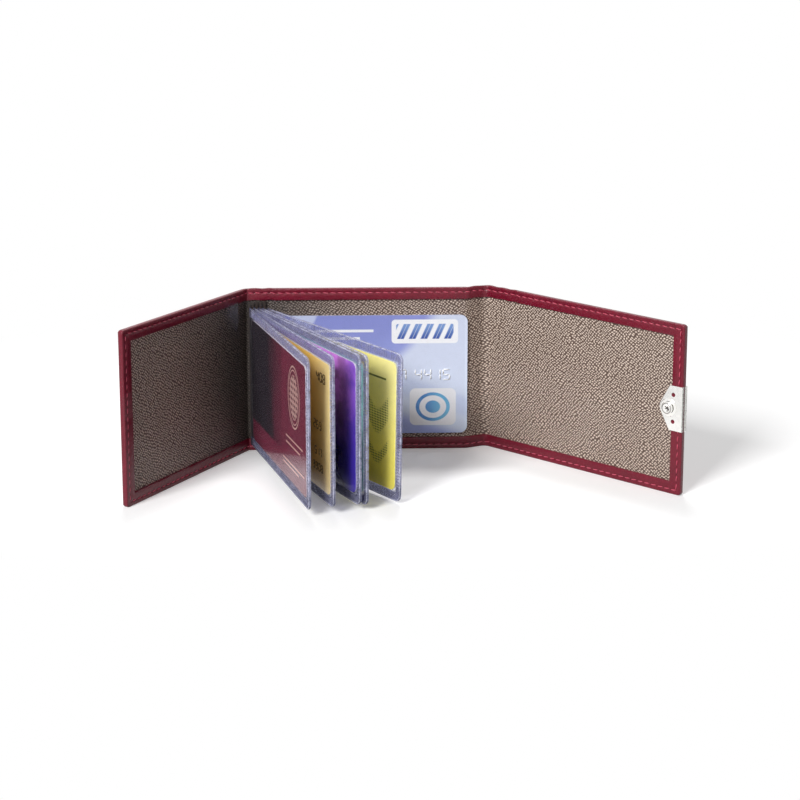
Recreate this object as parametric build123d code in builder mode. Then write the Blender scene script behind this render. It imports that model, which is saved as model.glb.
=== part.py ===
from build123d import *
import os
from math import cos, radians, sin, sqrt, tan

# A trifold leather card case that stands open on its bottom edges like a folding screen.
# The back panel is in the middle. A soft spine on its left carries the front cover and an
# insert of clear sleeves, and a soft spine on its right carries the closing flap.
# X runs along the back panel, -Y is the side that the case opens to, Z is up.
# The origin is the middle of the back panel's bottom edge, halfway through its thickness.

# Cards, to the usual size of a bank card
card_length = 85.6
card_height = 53.98
card_thickness = 0.76
card_corner_radius = 3.18

# Leather, lining and board, from the inner face outwards
hem_thickness = 0.85
lining_thickness = 0.3
board_thickness = 0.8
skin_thickness = 0.7
edge_wall = 0.7
hem_width = 5.3
lining_overlap = 3.0
soft_thickness = hem_thickness + lining_thickness + skin_thickness
panel_thickness = soft_thickness + board_thickness
board_depth = hem_thickness + lining_thickness
lining_inset = hem_width - lining_overlap

# Panels, which follow from the card in the back panel's pocket
window_card_rise = 7.3
window_card_headroom = 12.32
window_card_room = 1.4
cover_extra = 0.7
flap_extra = 1.1
flap_taper = 1.4
case_height = window_card_rise + card_height + window_card_headroom
flap_end_height = case_height - flap_taper
back_board_width = card_length + window_card_room
cover_length = back_board_width + cover_extra
flap_length = back_board_width + flap_extra
board_margin = 2.7
crease_margin = 1.0
skive_start = 1.2
skive_end = 3.0
skive_radius = 2.0
panel_corner_radius = 1.5
outer_edge_radius = 0.9
hem_edge_radius = 0.35

# Creases: each spine has a rolled edge that turns in a hollow in the panel beside it
crease_gap = 0.3
crease_radius = soft_thickness + crease_gap
lining_turn = 0.6
cutter_reach = 4.0
tongue_length = 6.35
tongue_rise = 24.0
tongue_radius = 3.0
fold_radius = 3.0
fold_straight = 0.94

# Angles of the open case as it stands, in degrees
left_spine_rest = 1.7
cover_rest = 59.0
flap_rest = 43.7

# Sleeves, numbered from the front cover towards the back panel
sleeve_rest_angles = (72.8, 67.6, 61.7, 60.9, 52.4)
sleeve_sag_angles = (0.0, 0.0, 0.3, 0.5, 1.4)
film_thickness = 0.15
card_clearance = 0.05
pocket_clearance = 0.3
side_border_width = 3.9
end_border_width = 3.0
card_root_gap = 4.8
sleeve_corner_radius = 3.0
sleeve_gap = 0.54
sleeve_rise = 3.1
border_thickness = card_thickness + 2 * card_clearance
sleeve_thickness = border_thickness + 2 * film_thickness
sleeve_pitch = sleeve_thickness + sleeve_gap
sleeve_length = card_root_gap + card_length + pocket_clearance + end_border_width
sleeve_height = card_height + 2 * pocket_clearance + 2 * side_border_width

# Insert binding, the strip on the left spine that the sleeves hang from
spine_margin = 1.1
binding_thickness = 0.5
binding_margin = 0.5
bead_radius = 0.35
bead_web = 0.4
bead_lift = 0.6
root_gap = 0.3
sleeve_start = bead_radius + root_gap
left_spine_width = sleeve_pitch * (len(sleeve_rest_angles) - 1) + 2 * spine_margin

# Window pockets
film_overlap = 0.9
back_film_start = 1.2
back_film_margin = 1.1
back_film_length = crease_margin + back_board_width - back_film_start - back_film_margin
cover_film_start = 7.0
window_card_start = 2.5
window_card_depth = 0.05

# Closure plate on the flap's free edge, with the snap stud and its cap
plate_thickness = 0.45
plate_height = 19.0
plate_reach = 6.2
plate_bulge_radius = 4.1
plate_waist_radius = 3.0
plate_corner_radius = 0.6
plate_bend_radius = 0.9
plate_edge_clearance = 0.05
plate_hole_radius = 0.9
plate_hole_inset = 4.3
plate_hole_offset = 5.7
stud_inset = 6.5
stud_flange_radius = 3.8
stud_flange_thickness = 0.5
stud_neck_radius = 2.1
stud_neck_height = 0.35
stud_head_radius = 2.6
stud_head_height = 1.1
stud_bevel = 0.3
stud_dimple_radius = 1.5
stud_dimple_depth = 0.4
post_radius = 1.2
post_reach = 0.5
post_clearance = 0.05
cap_radius = 3.9
cap_height = 0.9
cap_rim = 0.35

# Snap socket on the front cover's outer face, with its spring and eyelet
socket_radius = 4.9
socket_height = 1.45
socket_lip_radius = 3.0
socket_bevel = 0.4
groove_radius = 3.6
groove_height = 0.5
groove_base = 0.6
spring_wire_radius = 0.17
spring_wire_sides = 8
spring_clearance = 0.05
spring_arc = 310.0
eyelet_radius = 3.1
eyelet_wall = 0.3
eyelet_flange_radius = 4.5
eyelet_flange_thickness = 0.3
eyelet_reach = 0.4
seat_clearance = 0.15
fit_clearance = 0.05


def heading(angle):
    """Unit vector in plan at an angle from +X towards +Y."""
    return Vector(cos(radians(angle)), sin(radians(angle)), 0)


# Hinge points and folds in plan
inner_face_y = -panel_thickness / 2
back_left_crease = Vector(-back_board_width / 2 - crease_margin, inner_face_y, 0)
left_spine_along = heading(180 + left_spine_rest)
left_spine_inward = heading(left_spine_rest - 90)
cover_along = heading(180 + cover_rest)
cover_outward = heading(90 + cover_rest)
cover_crease = back_left_crease + left_spine_along * left_spine_width
board_right_edge = Vector(back_board_width / 2, inner_face_y, 0)
flap_along = heading(-flap_rest)
flap_outward = heading(90 - flap_rest)
flap_spine_crease = board_right_edge + heading(tongue_rise) * tongue_length
fold_turn = tongue_rise + flap_rest
fold_leg = fold_radius * tan(radians(fold_turn / 2)) + fold_straight
fold_vertex = flap_spine_crease + heading(tongue_rise) * fold_leg

# The closed case sets how far the flap's plane lies from the back panel's, and with that
# the width of the right spine. The snap decides the gap between the flap and the cover.
closed_gap = plate_thickness + stud_flange_thickness + seat_clearance + socket_height
closed_depth = left_spine_width + panel_thickness + closed_gap
closed_chord = closed_depth + flap_spine_crease.Y - inner_face_y
fold_turn_share = cos(radians(fold_turn))
fold_leg_run = fold_leg * fold_turn_share
flap_spine_run = sqrt(fold_leg_run**2 + closed_chord**2 - fold_leg**2) - fold_leg_run
flap_crease = fold_vertex + flap_along * flap_spine_run
socket_from_crease = flap_spine_crease.X - flap_length + stud_inset - back_left_crease.X
snap_height = case_height / 2
lining_top = case_height - lining_inset

# Plan paths of the inner face, each with the outer side on its left
back_path = (back_left_crease, board_right_edge, flap_spine_crease)
left_spine_path = (cover_crease, back_left_crease)
flap_spine_path = (flap_spine_crease, fold_vertex, flap_crease)

# The two outer panels: elevation plane, outward sign, length, height at crease and at end
up = Vector(0, 0, 1)
cover_plane = Plane(cover_crease, cover_along, cover_outward)
cover_panel = (cover_plane, 1, cover_length, case_height, case_height)
flap_plane = Plane(flap_crease, flap_along, -flap_outward)
flap_panel = (flap_plane, -1, flap_length, case_height, flap_end_height)
cover_plan = Plane(cover_crease, cover_along, -up)
flap_plan = Plane(flap_crease, flap_along, up)


def path_line(points, bend_radius):
    """Inner face of a piece in plan, with its bend rounded."""
    if len(points) == 2:
        return Line(*points)
    return FilletPolyline(*points, radius=bend_radius)


def extended(points, start_reach, end_reach):
    """The same path, longer at both ends."""
    start = points[0] + (points[0] - points[1]).normalized() * start_reach
    end = points[-1] + (points[-1] - points[-2]).normalized() * end_reach
    return (start, *points[1:-1], end)


def wrap_sketch(points, bend_radius, near, far):
    """Plan section of a layer along a path, between two depths outside it."""
    with BuildSketch() as section:
        with BuildLine():
            path_line(points, bend_radius)
            offset(amount=far, side=Side.LEFT)
        make_face()
        if near > 0:
            with BuildLine():
                path_line(points, bend_radius)
                offset(amount=near, side=Side.LEFT)
            make_face(mode=Mode.SUBTRACT)
    return section.sketch


def nose_sketch(point, direction):
    """Plan section of a spine's rolled edge, half round about its hinge line."""
    with BuildSketch(Plane(point, direction)) as nose:
        with BuildLine():
            CenterArc((0, 0), soft_thickness, 0, 180)
            Line((-soft_thickness, 0), (soft_thickness, 0))
        make_face()
    return nose.sketch


def disc_sketch(plane, across, height, radius):
    """A round outline on a plane."""
    with BuildSketch(plane) as disc:
        with Locations((across, height)):
            Circle(radius)
    return disc.sketch


def panel_sketch(plane, start, end, inset, sizes, radius):
    """Outline of an outer panel's layer in elevation, with its two free corners rounded."""
    length, near_height, far_height = sizes
    slope_share = (far_height - near_height) / length
    with BuildSketch(plane) as outline:
        with BuildLine():
            Polyline(
                (start, inset),
                (end, inset),
                (end, near_height + slope_share * end - inset),
                (start, near_height + slope_share * start - inset),
                close=True,
            )
        make_face()
        if radius > 0:
            fillet(outline.vertices().group_by(Axis.X)[-1], radius)
    return outline.sketch


def upright(section, bottom, top, mode=Mode.ADD):
    """Raise a plan section between two heights."""
    extrude(section.moved(Location(up * bottom)), amount=top - bottom, mode=mode)


def panel_layer(panel, depth, thickness, start, end, inset, radius=0, mode=Mode.ADD):
    """Add or cut one flat layer of the cover or the flap."""
    plane, sign, *sizes = panel
    outline = panel_sketch(plane.offset(sign * depth), start, end, inset, sizes, radius)
    extrude(outline, amount=sign * thickness, mode=mode)


def panel_bore(panel, along, near, far, radius, mode=Mode.SUBTRACT):
    """Cut a round hole square through the cover or the flap, between two depths."""
    plane, sign, *sizes = panel
    disc = disc_sketch(plane.offset(sign * near), along, snap_height, radius)
    extrude(disc, amount=sign * (far - near), mode=mode)


def crease_hollow(point):
    """Cut the hollow that a spine's rolled edge turns in."""
    upright(disc_sketch(Plane(point), 0, 0, crease_radius), 0, case_height, Mode.SUBTRACT)


def rim_edges(builder, points, bend_radius, outer):
    """Edges round the top and bottom of an upright piece, on its outer or inner face."""
    with BuildLine(mode=Mode.PRIVATE) as line:
        path_line(points, bend_radius)
    path = line.wire()
    chosen = ShapeList()
    for rim in (builder.faces().sort_by(Axis.Z)[0], builder.faces().sort_by(Axis.Z)[-1]):
        level = path.moved(Location(up * rim.center().Z))
        for edge in rim.edges():
            gap = level.distance_to(edge) if outer else level.distance_to(edge.center())
            if (gap > skin_thickness) == outer and (outer or gap < crease_gap):
                chosen.append(edge)
    return chosen


def outer_panel(builder, panel, plan, crease):
    """Leather of the cover or the flap: skin, edge walls and hems turned in on three sides."""
    plane, sign, length, *heights = panel
    panel_layer(panel, 0, panel_thickness, 0, length, 0, panel_corner_radius)
    outward_axis = Axis(plane.origin, plane.z_dir * sign)
    along_axis = Axis(plane.origin, plane.x_dir)
    skin_edges = builder.faces().sort_by(outward_axis)[-1].edges().sort_by(along_axis)[1:]
    fillet(skin_edges, outer_edge_radius)
    hem_edges = builder.faces().sort_by(outward_axis)[0].edges().sort_by(along_axis)[1:]
    fillet(hem_edges, hem_edge_radius)
    window_end = length - hem_width
    panel_layer(panel, 0, hem_thickness, -cutter_reach, window_end, hem_width, 0, Mode.SUBTRACT)
    lining_end = length - lining_inset
    panel_layer(panel, hem_thickness, lining_thickness, 0, lining_end, lining_inset, 0, Mode.SUBTRACT)
    board_end = length - edge_wall
    panel_layer(panel, board_depth, board_thickness, board_margin, board_end, edge_wall, 0, Mode.SUBTRACT)
    with BuildSketch(plan) as skive:
        with BuildLine():
            Polyline(
                (-cutter_reach, soft_thickness),
                (skive_start, soft_thickness),
                (skive_end, panel_thickness),
                (skive_end, panel_thickness + cutter_reach),
                (-cutter_reach, panel_thickness + cutter_reach),
                close=True,
            )
        make_face()
    extrude(skive.sketch, amount=case_height, both=True, mode=Mode.SUBTRACT)
    crease_hollow(crease)


def spine_leather(builder, points, bend_radius, start_reach):
    """Leather of a soft spine: no board, hems at top and bottom, two rolled edges."""
    with BuildSketch() as section:
        add(wrap_sketch(points, bend_radius, 0, soft_thickness))
        add(nose_sketch(points[0], points[1] - points[0]))
        add(nose_sketch(points[-1], points[-1] - points[-2]))
    upright(section.sketch, 0, case_height)
    fillet(rim_edges(builder, points, bend_radius, True), outer_edge_radius)
    fillet(rim_edges(builder, points, bend_radius, False), hem_edge_radius)
    window_path = extended(points, start_reach, cutter_reach)
    window = wrap_sketch(window_path, bend_radius, 0, hem_thickness)
    upright(window, hem_width, case_height - hem_width, Mode.SUBTRACT)
    upright(spine_lining_sketch(points, bend_radius), lining_inset, lining_top, Mode.SUBTRACT)


def spine_lining_sketch(points, bend_radius):
    """Plan section of a soft spine's lining, which runs on a little way into both creases."""
    lining_path = extended(points, lining_turn, lining_turn)
    return wrap_sketch(lining_path, bend_radius, hem_thickness, board_depth)


# Back panel
board_left = -back_board_width / 2 - crease_margin + board_margin
board_right = back_board_width / 2 - tongue_radius * tan(radians(tongue_rise / 2))
rib_left = back_left_crease.X
rib_right = back_board_width / 2 - soft_thickness * tan(radians(tongue_rise / 2))
rib_right_top = rib_right + board_thickness / tan(radians(tongue_rise))
rib_root = inner_face_y + board_depth
skin_foot = inner_face_y + soft_thickness
skin_top = inner_face_y + panel_thickness

with BuildPart() as back_leather:
    with BuildSketch() as back_section:
        add(wrap_sketch(back_path, tongue_radius, 0, soft_thickness))
        with BuildLine():
            Polyline(
                (rib_left, rib_root),
                (rib_left, skin_foot),
                (rib_left + skive_start, skin_foot),
                (rib_left + skive_end, skin_top),
                (rib_right_top, skin_top),
                (rib_right, skin_foot),
                (rib_right, rib_root),
                close=True,
            )
        make_face()
        skive_foot = Vector(rib_left + skive_start, skin_foot)
        skive_head = Vector(rib_left + skive_end, skin_top)
        tongue_root = Vector(rib_right_top, skin_top)
        skive_corners = [
            back_section.vertices().sort_by_distance(corner)[0]
            for corner in (skive_foot, skive_head, tongue_root)
        ]
        fillet(skive_corners, skive_radius)
        with Locations(back_left_crease, flap_spine_crease):
            Circle(crease_radius, mode=Mode.SUBTRACT)
    extrude(amount=case_height)
    fillet(rim_edges(back_leather, back_path, tongue_radius, True), outer_edge_radius)
    fillet(rim_edges(back_leather, back_path, tongue_radius, False), hem_edge_radius)
    window_path = extended(back_path, cutter_reach, cutter_reach)
    back_window = wrap_sketch(window_path, tongue_radius, 0, hem_thickness)
    upright(back_window, hem_width, case_height - hem_width, Mode.SUBTRACT)
    back_lining_section = wrap_sketch(back_path, tongue_radius, hem_thickness, board_depth)
    upright(back_lining_section, lining_inset, lining_top, Mode.SUBTRACT)
    with BuildSketch(Plane.XY.offset(edge_wall)):
        with Locations((board_left, inner_face_y + board_depth)):
            Rectangle(board_right - board_left, board_thickness, align=(Align.MIN, Align.MIN))
    extrude(amount=case_height - 2 * edge_wall, mode=Mode.SUBTRACT)

with BuildPart() as back_board:
    with BuildSketch(Plane.XY.offset(edge_wall)):
        with Locations((board_left, inner_face_y + board_depth)):
            Rectangle(board_right - board_left, board_thickness, align=(Align.MIN, Align.MIN))
    extrude(amount=case_height - 2 * edge_wall)

with BuildPart() as back_lining:
    upright(back_lining_section, lining_inset, lining_top)
    crease_hollow(back_left_crease)
    crease_hollow(flap_spine_crease)

with BuildPart() as back_window_film:
    with BuildSketch(Plane.XY.offset(hem_width - film_overlap)):
        with Locations((back_left_crease.X + back_film_start, inner_face_y)):
            Rectangle(back_film_length, film_thickness, align=(Align.MIN, Align.MAX))
    extrude(amount=case_height - 2 * (hem_width - film_overlap))

with BuildPart() as window_card:
    with BuildSketch(Plane.XZ.offset(-inner_face_y - window_card_depth)):
        window_card_middle = back_left_crease.X + window_card_start + card_length / 2
        with Locations((window_card_middle, window_card_rise + card_height / 2)):
            RectangleRounded(card_length, card_height, card_corner_radius)
    extrude(amount=-card_thickness)

# Left spine and the binding of the sleeve insert
with BuildPart() as left_spine_leather:
    spine_leather(left_spine_leather, left_spine_path, 0, lining_turn)

with BuildPart() as left_spine_lining:
    upright(spine_lining_sketch(left_spine_path, 0), lining_inset, lining_top)

binding_plan = Plane(back_left_crease, left_spine_along, -up)
binding_face = hem_thickness - binding_thickness
bead_positions = [spine_margin + sleeve_pitch * place for place in range(len(sleeve_rest_angles))]
binding_bottom = hem_width + binding_margin
binding_top = case_height - binding_bottom

with BuildPart() as sleeve_binding:
    with BuildSketch(binding_plan.offset(-binding_bottom)):
        with Locations((left_spine_width / 2, binding_face)):
            strip_width = left_spine_width - 2 * binding_margin
            Rectangle(strip_width, binding_thickness, align=(Align.CENTER, Align.MIN))
        with Locations([(place, binding_face) for place in bead_positions]):
            Rectangle(bead_web, binding_face + bead_lift, align=(Align.CENTER, Align.MAX))
    extrude(amount=-(binding_top - binding_bottom))
    with BuildSketch(binding_plan.offset(-sleeve_rise)):
        with Locations([(place, -bead_lift) for place in bead_positions]):
            Circle(bead_radius)
    extrude(amount=-sleeve_height)

# Front cover
with BuildPart() as cover_leather:
    outer_panel(cover_leather, cover_panel, cover_plan, cover_crease)
    skin_depth = board_depth + board_thickness
    panel_bore(cover_panel, socket_from_crease, skin_depth, panel_thickness, eyelet_radius + fit_clearance)

with BuildPart() as cover_board:
    cover_board_end = cover_length - edge_wall
    panel_layer(cover_panel, board_depth, board_thickness, board_margin, cover_board_end, edge_wall)
    flange_seat_depth = skin_depth - eyelet_flange_thickness
    flange_seat_radius = eyelet_flange_radius + fit_clearance
    panel_bore(cover_panel, socket_from_crease, flange_seat_depth, skin_depth, flange_seat_radius)

with BuildPart() as cover_lining:
    cover_lining_end = cover_length - lining_inset
    panel_layer(cover_panel, hem_thickness, lining_thickness, 0, cover_lining_end, lining_inset)
    crease_hollow(cover_crease)

with BuildPart() as cover_window_film:
    cover_film_end = cover_length - hem_width + film_overlap
    cover_film_inset = hem_width - film_overlap
    cover_film_span = (cover_film_start, cover_film_end, cover_film_inset)
    panel_layer(cover_panel, -film_thickness, film_thickness, *cover_film_span)

socket_seat = cover_crease + cover_along * socket_from_crease + cover_outward * panel_thickness
socket_plane = Plane(socket_seat + up * snap_height, cover_along, -up)
socket_axis = Axis(socket_plane.origin, cover_outward)

with BuildPart() as snap_socket:
    with BuildSketch(socket_plane) as socket_section:
        with BuildLine():
            Polyline(
                (eyelet_radius + fit_clearance, 0),
                (socket_radius, 0),
                (socket_radius, socket_height),
                (socket_lip_radius, socket_height),
                (socket_lip_radius, groove_base + groove_height),
                (groove_radius, groove_base + groove_height),
                (groove_radius, groove_base),
                (eyelet_radius + fit_clearance, groove_base),
                close=True,
            )
        make_face()
        socket_corner = Vector(socket_radius, socket_height)
        chamfer(socket_section.vertices().sort_by_distance(socket_corner)[0], socket_bevel)
    revolve(axis=socket_axis)

with BuildPart() as socket_spring:
    with BuildSketch(socket_plane):
        spring_radius = groove_radius - spring_clearance - spring_wire_radius
        with Locations((spring_radius, groove_base + groove_height / 2)):
            RegularPolygon(spring_wire_radius, spring_wire_sides)
    revolve(axis=socket_axis, revolution_arc=spring_arc)

with BuildPart() as socket_eyelet:
    flange_face = -skin_thickness - eyelet_flange_thickness
    with BuildSketch(socket_plane):
        with BuildLine():
            Polyline(
                (0, flange_face),
                (eyelet_flange_radius, flange_face),
                (eyelet_flange_radius, -skin_thickness),
                (eyelet_radius, -skin_thickness),
                (eyelet_radius, eyelet_reach),
                (eyelet_radius - eyelet_wall, eyelet_reach),
                (eyelet_radius - eyelet_wall, -skin_thickness),
                (0, -skin_thickness),
                close=True,
            )
        make_face()
    revolve(axis=socket_axis)

# Right spine
with BuildPart() as flap_spine_leather:
    spine_leather(flap_spine_leather, flap_spine_path, fold_radius, cutter_reach)

with BuildPart() as flap_spine_lining:
    upright(spine_lining_sketch(flap_spine_path, fold_radius), lining_inset, lining_top)

# Flap
stud_along = flap_length - stud_inset
post_bore_radius = post_radius + post_clearance

with BuildPart() as flap_leather:
    outer_panel(flap_leather, flap_panel, flap_plan, flap_crease)
    panel_bore(flap_panel, stud_along, 0, panel_thickness, post_bore_radius)

with BuildPart() as flap_board:
    flap_board_end = flap_length - edge_wall
    panel_layer(flap_panel, board_depth, board_thickness, board_margin, flap_board_end, edge_wall)
    panel_bore(flap_panel, stud_along, 0, panel_thickness, post_bore_radius)

with BuildPart() as flap_lining:
    flap_lining_end = flap_length - lining_inset
    panel_layer(flap_panel, hem_thickness, lining_thickness, 0, flap_lining_end, lining_inset)
    crease_hollow(flap_crease)
    panel_bore(flap_panel, stud_along, 0, panel_thickness, post_bore_radius)

# Closure plate, bent round the flap's free edge, with the same outline on both faces
plate_end = plate_thickness + plate_edge_clearance
plate_plane = flap_panel[0].offset(plate_thickness)

with BuildPart() as closure_plate:
    with BuildSketch(plate_plane) as plate_outline:
        with Locations((flap_length + plate_end, snap_height)):
            Rectangle(plate_reach + plate_end, plate_height, align=(Align.MAX, Align.CENTER))
        fillet(plate_outline.vertices().group_by(Axis.X)[0], plate_corner_radius)
        with Locations((stud_along, snap_height)):
            Circle(plate_bulge_radius)
        waist_corners = plate_outline.vertices().filter_by_position(
            Axis.Y, snap_height - plate_bulge_radius, snap_height + plate_bulge_radius
        )
        fillet(waist_corners, plate_waist_radius)
    extrude(amount=-(panel_thickness + 2 * plate_thickness))
    end_face = closure_plate.faces().sort_by(Axis(flap_crease, flap_along))[-1]
    fillet(end_face.edges().filter_by(Axis.Z), plate_bend_radius)
    with BuildSketch(flap_panel[0]) as plate_opening:
        with Locations((flap_length + plate_edge_clearance, snap_height)):
            Rectangle(flap_length, case_height, align=(Align.MAX, Align.CENTER))
    extrude(amount=-panel_thickness, mode=Mode.SUBTRACT)
    with BuildSketch(plate_plane) as plate_holes:
        hole_along = flap_length - plate_hole_inset
        lower_hole = (hole_along, snap_height - plate_hole_offset)
        upper_hole = (hole_along, snap_height + plate_hole_offset)
        with Locations(lower_hole, upper_hole):
            Circle(plate_hole_radius)
        with Locations((stud_along, snap_height)):
            Circle(post_bore_radius)
    extrude(amount=-(panel_thickness + 2 * plate_thickness), mode=Mode.SUBTRACT)

stud_seat = flap_crease + flap_along * stud_along - flap_outward * plate_thickness
stud_plane = Plane(stud_seat + up * snap_height, flap_along, -up)
stud_axis = Axis(stud_plane.origin, -flap_outward)
head_foot = stud_flange_thickness + stud_neck_height
head_top = stud_flange_thickness + stud_head_height
post_hole_end = post_reach + post_clearance

with BuildPart() as snap_stud:
    with BuildSketch(stud_plane) as stud_section:
        with BuildLine():
            Polyline(
                (post_bore_radius, 0),
                (stud_flange_radius, 0),
                (stud_flange_radius, stud_flange_thickness),
                (stud_neck_radius, stud_flange_thickness),
                (stud_neck_radius, head_foot),
                (stud_head_radius, head_foot),
                (stud_head_radius, head_top),
                (stud_dimple_radius, head_top),
                (0, head_top - stud_dimple_depth),
                (0, post_hole_end),
                (post_bore_radius, post_hole_end),
                close=True,
            )
        make_face()
        head_corner = Vector(stud_head_radius, head_top)
        flange_corner = Vector(stud_flange_radius, stud_flange_thickness)
        stud_corners = [
            stud_section.vertices().sort_by_distance(corner)[0]
            for corner in (head_corner, flange_corner)
        ]
        chamfer(stud_corners, stud_bevel)
    revolve(axis=stud_axis)

with BuildPart() as stud_cap:
    cap_seat = -panel_thickness - 2 * plate_thickness
    with BuildSketch(stud_plane):
        with BuildLine():
            cap_crown = (0, cap_seat - cap_height)
            cap_dome = TangentArc(cap_crown, (cap_radius, cap_seat - cap_rim), tangent=(1, 0))
            Polyline(
                cap_dome @ 1,
                (cap_radius, cap_seat),
                (post_radius, cap_seat),
                (post_radius, post_reach),
                (0, post_reach),
                cap_dome @ 0,
            )
        make_face()
    revolve(axis=stud_axis)

pieces = {
    "back_leather": back_leather,
    "back_board": back_board,
    "back_lining": back_lining,
    "back_window_film": back_window_film,
    "window_card": window_card,
    "left_spine_leather": left_spine_leather,
    "left_spine_lining": left_spine_lining,
    "sleeve_binding": sleeve_binding,
    "cover_leather": cover_leather,
    "cover_board": cover_board,
    "cover_lining": cover_lining,
    "cover_window_film": cover_window_film,
    "snap_socket": snap_socket,
    "socket_spring": socket_spring,
    "socket_eyelet": socket_eyelet,
    "flap_spine_leather": flap_spine_leather,
    "flap_spine_lining": flap_spine_lining,
    "flap_leather": flap_leather,
    "flap_board": flap_board,
    "flap_lining": flap_lining,
    "closure_plate": closure_plate,
    "snap_stud": snap_stud,
    "stud_cap": stud_cap,
}

# Sleeve insert: five clear pockets in a fan, each two films, a border and a card.
# A pocket is closed on three sides and open towards the spine.


def sleeve_outline(plane):
    """Outline of a sleeve, with its two outer corners rounded."""
    with BuildSketch(plane) as outline:
        with Locations((sleeve_start, 0)):
            Rectangle(sleeve_length - sleeve_start, sleeve_height, align=(Align.MIN, Align.MIN))
        fillet(outline.vertices().group_by(Axis.X)[-1], sleeve_corner_radius)
    return outline.sketch


pocket_end = sleeve_length - end_border_width
pocket_height = sleeve_height - 2 * side_border_width

for number, (turn, sag) in enumerate(zip(sleeve_rest_angles, sleeve_sag_angles), start=1):
    place = bead_positions[-number]
    base = back_left_crease + left_spine_along * place + left_spine_inward * bead_lift
    direction = heading(-turn) * cos(radians(sag)) - up * sin(radians(sag))
    sleeve_plane = Plane(base + up * sleeve_rise, direction, heading(-turn - 90))
    with BuildPart() as front_film:
        extrude(sleeve_outline(sleeve_plane.offset(border_thickness / 2)), amount=film_thickness)
    with BuildPart() as back_film:
        extrude(sleeve_outline(sleeve_plane.offset(-border_thickness / 2)), amount=-film_thickness)
    with BuildPart() as border:
        extrude(sleeve_outline(sleeve_plane.offset(-border_thickness / 2)), amount=border_thickness)
        with BuildSketch(sleeve_plane.offset(-border_thickness / 2)):
            with Locations((pocket_end, sleeve_height / 2)):
                Rectangle(sleeve_length, pocket_height, align=(Align.MAX, Align.CENTER))
        extrude(amount=border_thickness, mode=Mode.SUBTRACT)
    with BuildPart() as card:
        with BuildSketch(sleeve_plane.offset(-card_thickness / 2)):
            with Locations((card_root_gap + card_length / 2, sleeve_height / 2)):
                RectangleRounded(card_length, card_height, card_corner_radius)
        extrude(amount=card_thickness)
    pieces[f"sleeve_{number}_front_film"] = front_film
    pieces[f"sleeve_{number}_back_film"] = back_film
    pieces[f"sleeve_{number}_border"] = border
    pieces[f"card_{number}"] = card

os.makedirs("parts", exist_ok=True)
for name, piece in pieces.items():
    piece.part.label = name
    export_step(piece.part, f"parts/{name}.step")
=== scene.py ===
import bmesh
import bpy
from math import acos, atan2, cos, exp, hypot, inf, pi, radians, sin, sqrt, tan
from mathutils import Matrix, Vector, noise


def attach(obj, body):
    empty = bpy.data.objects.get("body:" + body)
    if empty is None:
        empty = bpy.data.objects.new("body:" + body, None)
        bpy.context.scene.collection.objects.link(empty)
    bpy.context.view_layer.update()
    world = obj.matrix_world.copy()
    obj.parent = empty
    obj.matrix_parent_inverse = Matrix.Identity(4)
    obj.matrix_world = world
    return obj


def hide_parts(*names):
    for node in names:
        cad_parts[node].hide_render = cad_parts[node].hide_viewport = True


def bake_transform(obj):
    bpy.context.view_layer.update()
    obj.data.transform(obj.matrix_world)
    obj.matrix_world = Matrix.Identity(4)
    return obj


# A trifold leather card case that stands open on its bottom edges like a folding screen.
# Lengths are in millimetres and angles in degrees, in the same frame as the frame's nodes.

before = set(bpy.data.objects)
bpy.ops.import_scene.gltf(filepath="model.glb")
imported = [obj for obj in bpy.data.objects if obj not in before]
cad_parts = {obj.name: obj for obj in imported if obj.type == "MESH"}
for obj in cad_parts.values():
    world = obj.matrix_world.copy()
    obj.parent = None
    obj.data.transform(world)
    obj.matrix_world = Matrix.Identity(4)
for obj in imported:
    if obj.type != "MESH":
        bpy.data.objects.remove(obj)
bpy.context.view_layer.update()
scene = bpy.context.scene
MM = 0.001

# Sizes of the case
HEIGHT = 73.6
FLAP_END_HEIGHT = 72.2
COVER_LENGTH = 87.7
SPINE_WIDTH = 9.0
BACK_LEFT = -44.5
BACK_RIGHT = 43.5
TONGUE_LENGTH = 6.35
FOLD_STRAIGHT = 0.94
FOLD_RUN = 15.43883
FOLD_RADIUS = 3.0
FLAP_LENGTH = 88.1
PANEL = 2.65
SOFT = 1.85
HEM = 5.3
HEM_DEPTH = 0.85
WINDOW_DEPTH = 1.07
INNER_Y = -1.325
OUTER_ROUND = 0.9
INNER_ROUND = 0.35
CORNER = 1.5

# Directions of the cover, the left spine, the board's tongue and the flap in plan
COVER_TURN = 59.0
SPINE_TURN = 1.7
TONGUE_TURN = 24.0
FLAP_TURN = -43.7

# Stitches, and how far each of their points stands out of the leather
STITCH_INSET = 2.0
STITCH_PITCH = 3.3
STITCH_LENGTH = 2.35
STITCH_START = 0.45
STITCH_RADIUS = 0.22 * MM
STITCH_SLANT = 0.14
STITCH_ARCH = (-0.12, 0.02, 0.07, 0.02, -0.12)


def heading(angle):
    """Unit vector in plan at an angle from +X towards +Y."""
    return Vector((cos(radians(angle)), sin(radians(angle)), 0))


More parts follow.
